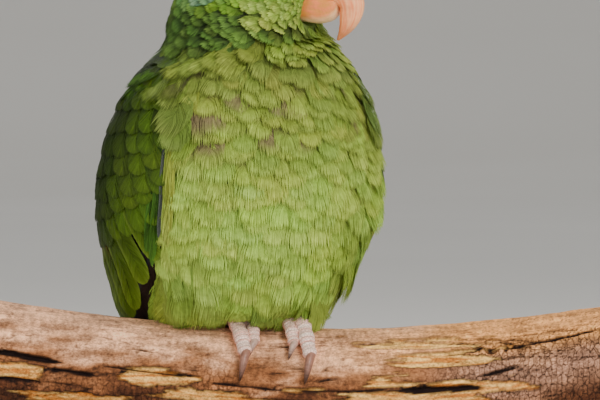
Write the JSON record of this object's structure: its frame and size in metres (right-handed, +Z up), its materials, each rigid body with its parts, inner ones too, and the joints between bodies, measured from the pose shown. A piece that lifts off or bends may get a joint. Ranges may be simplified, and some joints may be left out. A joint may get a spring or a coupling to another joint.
{
  "type": "amazon parrot model on a perch",
  "caption": "Life-size still model of a perched green amazon parrot with its head turned, on a cut branch held by a flat base and rods.",
  "frame": {"origin": "centre of the stand base's underside", "axes": "+Z up, +X along the branch towards the side that the bird's head is turned to, -Y towards the side that its breast faces"},
  "size_m": [0.304, 0.1826, 0.3223],
  "materials": {
    "green_breast": "soft contour feathers, olive to yellow green with darker edges",
    "green_neck": "soft feathers with dark edges",
    "green_cheek": "short bright green feathers, red crown, blue-lilac band behind the eye",
    "green_wing": "firm vaned feathers, dark green, blue-black tips",
    "green_tail": "firm vaned feathers, green with yellow-green tips",
    "horn": "pale pink horn, soft sheen",
    "bare_skin": "pale bare skin, matt",
    "scaly_skin": "pale pinkish scaly skin",
    "claw": "grey-brown horn",
    "eye": "wet gloss, yellow-orange iris, black pupil",
    "bark": "rough cracked bark with peeled patches",
    "stand_wood": "dark stained wood, satin",
    "stand_metal": "satin"
  },
  "bodies": {
    "root": {"trunk": "green_breast", "neck": "green_neck", "head": "green_cheek", "beak_upper": "horn", "beak_lower": "horn", "cere": "bare_skin", "eye_l": "eye", "eye_r": "eye", "eye_ring_l": "bare_skin", "eye_ring_r": "bare_skin", "wing_l_coverts": "green_wing", "wing_l_secondaries": "green_wing", "wing_l_primaries": "green_wing", "wing_r_coverts": "green_wing", "wing_r_secondaries": "green_wing", "wing_r_primaries": "green_wing", "tail": "green_tail", "tail_coverts": "green_breast", "thigh_l": "green_breast", "thigh_r": "green_breast", "foot_l": "scaly_skin", "foot_r": "scaly_skin", "claw_l_outer_front": "claw", "claw_l_inner_front": "claw", "claw_l_outer_hind": "claw", "claw_l_inner_hind": "claw", "claw_r_outer_front": "claw", "claw_r_inner_front": "claw", "claw_r_outer_hind": "claw", "claw_r_inner_hind": "claw", "branch": "bark", "stand_base": "stand_wood", "stand_rod_l": "stand_metal", "stand_rod_r": "stand_metal", "stand_collar_l": "stand_metal", "stand_collar_r": "stand_metal"}
  },
  "joints": []
}
